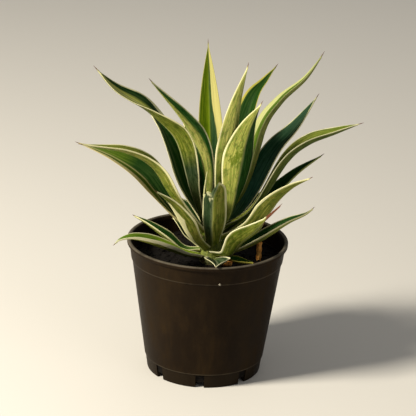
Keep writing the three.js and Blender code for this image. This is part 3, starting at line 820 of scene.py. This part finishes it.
# A pale line along the midrib, as strong as the keel value, is a painted highlight on the fold; the same
# attribute also carries the tear's own dry rim.
tissue = leaf.mix(keel, tissue, leaf.mix(0.5, green, cream))
margin = leaf.mix(leaf.times(leaf.ramp(broad, 0.35, 0.7), 0.35), cream, pale_green)
face = leaf.mix(is_green, margin, tissue)
horn = leaf.mix(leaf.ramp(fine, 0.3, 0.7), HORN_LIGHT, HORN_DARK)
leaf.colour(leaf.mix(spine, face, horn))
leaf.give(leaf.shader.inputs["Roughness"], leaf.ramp(mottle, 0.3, 0.8, 0.52, 0.7))
leaf.bump(leaf.plus(fine, leaf.times(mottle, 0.6)), 0.3, 0.0005)


def section_ring(upper, lower):
    """Rows of values across the upper face, and on round the lower face without its two edges."""
    return np.concatenate([upper, lower[:, -2:0:-1]], axis=1)


def leaf_blade(seed, name, azimuth, width, path, upper, under, margins, height=None, seat=0, root=0.34,
               clasp=None, belly=0.45, taper=TAPER_POWER, withered=SPINE_SHARE, gutter=0.5, roll=(0, 0),
               torn=1, keel=0.25, divide=(0, 0), blotches=(), blunt=1, cream=CREAM, material=leaf.material):
    """A leaf on a grid of shares of its length by places round its section. The section is a rounded V that
    hangs from the line between its edges, with a flat-bellied underside whose thickness is greatest at the
    midrib, and fine ribs along both faces. It turns about the leaf's own line by the roll. Past the share
    where it is torn, the clockwise half shrinks to a ragged remnant, with a dry rim. Each blotch is a dark
    spot at a share of the length and a place across, and fades as a bell curve of its size; on inner_5 the
    spots are painted cast shadows. A pale line along the midrib, as strong as keel, is a painted highlight
    on the fold."""
    draw = np.random.default_rng(seed)
    root_height = LOWEST_LEAF + LEAF_PITCH * seed if height is None else height
    start = ROOT_SPREAD * float(stem_radius(root_height)) + ROOT_SEAT + seat
    share = 1 - (1 - np.linspace(0, 1, LEAF_STATIONS)) ** STATION_POWER
    way = share[:, None]
    turn = math.radians(azimuth)
    outward = np.array([math.cos(turn), math.sin(turn), 0])
    sideways = np.array([-math.sin(turn), math.cos(turn), 0])
    points = np.array([(*point, 0)[:3] for point in [(start, root_height)] + list(path)], float)
    line = points[:, :1] * outward + points[:, 2:] * sideways + points[:, 1:2] * (0, 0, 1)
    middle, along, length = leaf_line(line + (PLANT_X, PLANT_Y, 0), share)
    flat_side = sideways - along * (along @ sideways)[:, None]
    flat_side /= np.linalg.norm(flat_side, axis=1)[:, None]
    flat_up = np.cross(along, flat_side)
    angle = np.radians(from_root_to_tip(roll, share))[:, None]
    side = flat_side * np.cos(angle) + flat_up * np.sin(angle)
    up = flat_up * np.cos(angle) - flat_side * np.sin(angle)

    # The section at every station, in millimetres across and up.
    half = half_width(share, width, root, clasp, belly, taper, withered, blunt)[:, None]
    thick = mid_thickness(share)[:, None]
    thick = np.where(way > 1 - SPINE_SHARE, np.minimum(thick, 2.2 * half), thick)
    steps = np.linspace(-1, 1, LEAF_ACROSS)
    v = 0.5 * np.sin(steps * np.pi / 2) + 0.5 * steps
    ragged = torn + sum(size * np.sin(pace * v + phase) for size, pace, phase in TEAR_WAVES)
    left = 1 - (1 - TORN_REMNANT) * np.clip((way - ragged) / TEAR_SPAN, 0, 1)
    across = np.where(v < 0, v * left, v)
    fold = gutter * half * (gutter_rise(across) - 1)
    edge = np.minimum(EDGE_THICKNESS, thick)
    rim = np.sqrt(np.clip(1 - v**8, 0, 1))
    ribs = RIB_RELIEF * np.sin(2 * np.pi * v * half / RIB_PITCH + draw.uniform(0, 6)) * (1 - v**4)
    crown = CROWN_SHARE * edge * (1 - rim)
    upper_rise = fold - crown + ribs
    lower_rise = fold - crown - (edge + (thick - edge) * (1 - v**2)) * rim + ribs * UNDER_RIBS
    ring_v = section_ring(across, across)
    ring_rise = section_ring(upper_rise, lower_rise)

    # The mesh: quads between the stations, and a fan of triangles over each end.
    places = middle[:, None] + side[:, None] * (half * ring_v)[..., None] + up[:, None] * ring_rise[..., None]
    count = ring_v.shape[1]
    places = places.reshape(-1, 3)
    ends = np.stack([places[:count].mean(axis=0), places[-count:].mean(axis=0)])
    total = len(places)
    around = np.arange(count)
    tip = total - count
    faces = grid_faces(LEAF_STATIONS, count, round_columns=True).tolist()
    faces += fan(total, around).tolist() + fan(total + 1, tip + around[::-1]).tolist()
    mesh = bpy.data.meshes.new(name + "_blade")
    mesh.from_pydata((np.concatenate([places, ends]) * MM).tolist(), [], faces)
    mesh.shade_smooth()

    # How far each place lies inside the green, in millimetres: the margins wander, and meet near the tip.
    knots = np.linspace(0, 1, MARGIN_KNOTS)
    wander = [1 + MARGIN_WANDER * np.interp(share, knots, draw.uniform(-1, 1, MARGIN_KNOTS)) for _ in margins]
    clockwise, anticlockwise = (
        (from_root_to_tip(np.ravel(margin), share) * drift * (1 + 0.5 * share**3))[:, None]
        for margin, drift in zip(margins, wander)
    )
    inside = np.minimum(1 + ring_v - clockwise, 1 - ring_v - anticlockwise) * half

    # The tints, the dry spine and tip, the rim of the tear, the painted highlight along the midrib and the
    # dark spots, which on inner_5 are painted cast shadows.
    underside = np.r_[0.5, np.zeros(LEAF_ACROSS - 2), 0.5, np.ones(LEAF_ACROSS - 2)]
    underside = np.tile(underside, (LEAF_STATIONS, 1))
    divide = from_root_to_tip(divide, share)[:, None]
    tone = face_tint(upper, share, ring_v, divide) * (1 - underside[..., None])
    tone = tone + face_tint(under, share, ring_v, divide) * underside[..., None]
    glow = GLOW_STRENGTH * np.clip(1 - way / GLOW_SHARE, 0, 1)[..., None] ** GLOW_POWER
    tone = tone * (1 - glow) + np.array(GLOW) * glow
    dry_from = 1 - withered - DRY_SLANT * (withered - SPINE_SHARE) * (0.5 * ring_v + 0.5) ** 2
    dryness = np.clip((way - dry_from) / (0.5 * SPINE_SHARE), 0, 1)
    dry_rim = (way - np.where(v < 0, ragged, DRY_RIM_END)) / DRY_RIM_SPAN
    dry_rim = np.exp(-(dry_rim**2)) * (torn < 1)
    # The pale midrib line is a painted highlight on the fold.
    midrib = keel * np.exp(-((ring_v * half / KEEL_WIDTH) ** 2))
    dark_spot = np.zeros((LEAF_STATIONS, count))
    for at, beside, size in blotches:
        lengthways = (way - at) / (SPOT_LENGTH * size)
        crossways = (ring_v - beside) / (SPOT_BREADTH * size)
        dark_spot += SPOT_DEPTH * size * np.exp(-(lengthways**2) - crossways**2)

    def at_ends(values):
        """The grid's values as rows, with those of the first and last places again for the two ends."""
        grid = np.asarray(values, float).reshape(total, -1)
        return np.concatenate([grid, grid[:1], grid[tip:tip + 1]])

    skin_place = ring_v * width / 2, way * length, underside * 9 + seed * 17.3
    fields = {
        "blade": ("FLOAT_VECTOR", "vector", np.stack(np.broadcast_arrays(*skin_place), axis=-1)),
        "green": ("FLOAT_COLOR", "color", np.dstack([tone, np.ones((LEAF_STATIONS, count))])),
        "cream": ("FLOAT_COLOR", "color", np.broadcast_to((*cream, 1), (LEAF_STATIONS, count, 4))),
        "inside": ("FLOAT", "value", inside),
        "underside": ("FLOAT", "value", underside),
        "keel": ("FLOAT", "value", np.maximum(midrib, section_ring(dry_rim, dry_rim))),
        "spine": ("FLOAT", "value", dryness),
        "dark_spot": ("FLOAT", "value", dark_spot),
    }
    for key, (kind, slot, values) in fields.items():
        layer = mesh.attributes.new(key, kind, "POINT")
        layer.data.foreach_set(slot, at_ends(values).astype(np.float32).ravel())
    thing = piece(name + "_blade", mesh, material)
    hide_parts(name)
    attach(thing, "root")
    return thing


blades = {facts["name"]: leaf_blade(number, **facts) for number, facts in enumerate(LEAVES)}

# The torn margin: a sliver of the torn leaf's cream edge, tough and stringy, that still stands where the
# blade beside it has gone. It starts on the leaf's own edge, rises the way the edge does, and leans out.
SLIVER_START = 92
SLIVER_RUN = 10
SLIVER_LENGTH = 26
SLIVER_RADIUS = 0.75
SLIVER_TAPER = 0.75
SLIVER_END = 0.02
SLIVER_SET = 0.6
SLIVER_LEAN = 1.2
SLIVER_RINGS = 30
SLIVER_SPOKES = 12
SLIVER_GREEN = (0.36, 0.38, 0.13, 1)

sliver_skin = Finish("sliver_skin", 0.55, 0.15)
fibres = sliver_skin.noise(sliver_skin.stretched(sliver_skin.place(), (1500, 1500, 160)), 1.0, 3.0)
sliver_skin.colour(sliver_skin.mix(sliver_skin.ramp(fibres, 0.35, 0.7), (*CREAM, 1), SLIVER_GREEN))
sliver_skin.bump(fibres, 0.3, 0.0003)

torn_mesh = blades["leaf_inner_7"].data
torn_places = np.empty(len(torn_mesh.vertices) * 3)
torn_mesh.vertices.foreach_get("co", torn_places)
torn_edge = torn_places[:-6].reshape(LEAF_STATIONS, -1, 3)[:, 0] / MM
rising = torn_edge[SLIVER_START] - torn_edge[SLIVER_START - SLIVER_RUN]
rising /= np.linalg.norm(rising)
along = np.linspace(0, 1, SLIVER_RINGS)[:, None, None]
around = spokes(SLIVER_SPOKES)[:, None]
thin = SLIVER_RADIUS * (1 - SLIVER_TAPER * along**2) * np.where((along == 0) | (along == 1), SLIVER_END, 1)
sliver_places = (
    torn_edge[SLIVER_START] + rising * along * SLIVER_LENGTH
    + (SLIVER_SET + SLIVER_LEAN * along**2) * (1, 0, 0)
    + thin * (np.cos(around) * (1, 0, 0) + 0.5 * np.sin(around) * (0, 1, 0))
).reshape(-1, 3)
sliver_faces = grid_faces(SLIVER_RINGS, SLIVER_SPOKES, round_columns=True).tolist()
sliver = solid("torn_margin", sliver_places, sliver_faces, sliver_skin.material)
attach(sliver, "root")

# The dry leaf: the withered, orange-brown base of an old leaf at the plant's foot. The dry stalk beside
# it is what is left of another, and stands in the soil on its own.
STALK_X = 48
STALK_Y = -4
STALK_RADIUS = 2.8
STALK_BOTTOM = 102
STALK_TOP = 128
STALK_RINGS = 40
STALK_SPOKES = 24
SWELL_DEPTH = 0.10
FURROW_DEPTH = 0.16
SPLINTER_DEPTH = 1.8
HUSK_DARK = (0.66, 0.250, 0.045, 1)
HUSK_LIGHT = (0.95, 0.52, 0.130, 1)
HUSK_STAIN = (0.34, 0.125, 0.036, 1)

husk = Finish("dry_husk", 0.8, 0.25)
here = husk.place()
strands = husk.noise(husk.stretched(here, (700, 700, 90)), 1.0, 5.0, 0.65)
stain = husk.noise(here, 130, 3.0)
straw = husk.mix(husk.ramp(strands, 0.35, 0.7), HUSK_DARK, HUSK_LIGHT)
husk.colour(husk.mix(husk.ramp(stain, 0.5, 0.72), straw, HUSK_STAIN))
husk.bump(strands, 0.7, 0.0008)

dry_leaf = leaf_blade(len(LEAVES), "dry_leaf", 301, 13, [(20, 115.6), (36, 118)], OLIVE, OLIVE, (0, 0),
                      height=114.6, root=0.2, belly=0.6, gutter=0.3, material=husk.material)

stalk_heights = np.linspace(STALK_BOTTOM, STALK_TOP, STALK_RINGS)
stalk_radii = STALK_RADIUS * (0.95 + SWELL_DEPTH * np.sin(stalk_heights * 0.9))
stalk_profile = np.concatenate([
    [(0, STALK_BOTTOM)], np.stack([stalk_radii, stalk_heights], axis=1), [(0, STALK_TOP - 0.8)],
])
stalk_angles = spokes(STALK_SPOKES)
stalk_places = turned(stalk_profile, stalk_angles).reshape(STALK_SPOKES, -1, 3)
stalk_places[..., :2] *= 1 - FURROW_DEPTH * np.abs(np.sin(stalk_angles * 2.5 + 0.6))[:, None, None]
stalk_places[:, -2, 2] -= SPLINTER_DEPTH * np.abs(np.sin(stalk_angles * 1.5))
stalk_places = stalk_places.reshape(-1, 3) + (STALK_X, STALK_Y, 0)
stalk_faces = grid_faces(STALK_SPOKES, len(stalk_profile), round_rows=True).tolist()
stalk = solid("withered_stalk", stalk_places, stalk_faces, husk.material)
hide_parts("dry_stalk")
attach(stalk, "root")

# The floor and the light: a plain pale floor under soft studio light, with the main light high on the
# left, a weaker one on the right and the weakest behind.
FLOOR_REACH = 9
FLOOR_TONE = (0.62, 0.60, 0.57, 1)
SKY_TONE = (0.93, 0.92, 0.88, 1)
SKY_STRENGTH = 0.26

paper = Finish("pale_floor", 0.9, 0.2)
paper.colour(FLOOR_TONE)
floor_mesh = bpy.data.meshes.new("floor")
corners = [(x * FLOOR_REACH, y * FLOOR_REACH, 0) for x, y in ((-1, -1), (1, -1), (1, 1), (-1, 1))]
floor_mesh.from_pydata(corners, [], [(0, 1, 2, 3)])
floor = piece("floor", floor_mesh, paper.material)


def stand(thing, right, above, behind, place):
    """Stand a lamp or a camera at a place, with its own three axes along the directions given."""
    pose = np.eye(4)
    pose[:3] = np.stack([right, above, behind, place], axis=1)
    thing.matrix_world = Matrix(pose)
    bpy.context.scene.collection.objects.link(thing)


for name, place, aim, size, power, colour in (
    ("left_light", (-1.5, -0.75, 1.35), (0, 0, 0.17), 0.45, 86, (1.0, 0.93, 0.78)),
    ("right_light", (1.6, -1.5, 1.0), (0, 0, 0.15), 1.4, 7, (1.0, 0.97, 0.92)),
    ("back_light", (0.3, 1.6, 1.4), (0, 0, 0.2), 1.2, 3, (1.0, 0.97, 0.92)),
):
    lamp = bpy.data.lights.new(name, "AREA")
    lamp.size, lamp.energy, lamp.color = size, power, colour
    away = np.array(place) - np.array(aim)
    away /= np.linalg.norm(away)
    right = np.cross((0, 0, 1), away)
    right /= np.linalg.norm(right)
    stand(bpy.data.objects.new(name, lamp), right, np.cross(away, right), away, place)

world = bpy.data.worlds.new("studio")
world.use_nodes = True
world.node_tree.nodes["Background"].inputs["Color"].default_value = SKY_TONE
world.node_tree.nodes["Background"].inputs["Strength"].default_value = SKY_STRENGTH
bpy.context.scene.world = world

# The camera stands where the photographer's did: 1.7 m away, 19.9 degrees above the level of the plant's
# middle, and tilted 2 degrees.
CAMERA_DISTANCE = 1.7
CAMERA_PITCH = math.radians(19.9)
CAMERA_ROLL = math.radians(2.0)
CAMERA_AIM = np.array([-0.0007, 0, 0.158])
IMAGE_SIZE = 416
FOCAL_PIXELS = 1838
SENSOR = 36

ahead = np.array([0, math.cos(CAMERA_PITCH), -math.sin(CAMERA_PITCH)])
level = np.array([1.0, 0, 0])
above = np.cross(level, ahead)
right = level * math.cos(CAMERA_ROLL) + above * math.sin(CAMERA_ROLL)
top = above * math.cos(CAMERA_ROLL) - level * math.sin(CAMERA_ROLL)
camera_data = bpy.data.cameras.new("camera")
camera_data.sensor_width = SENSOR
camera_data.lens = SENSOR * FOCAL_PIXELS / IMAGE_SIZE
camera = bpy.data.objects.new("camera", camera_data)
stand(camera, right, top, -ahead, CAMERA_AIM - CAMERA_DISTANCE * ahead)
bpy.context.scene.camera = camera
bpy.context.scene.view_settings.view_transform = "Standard"
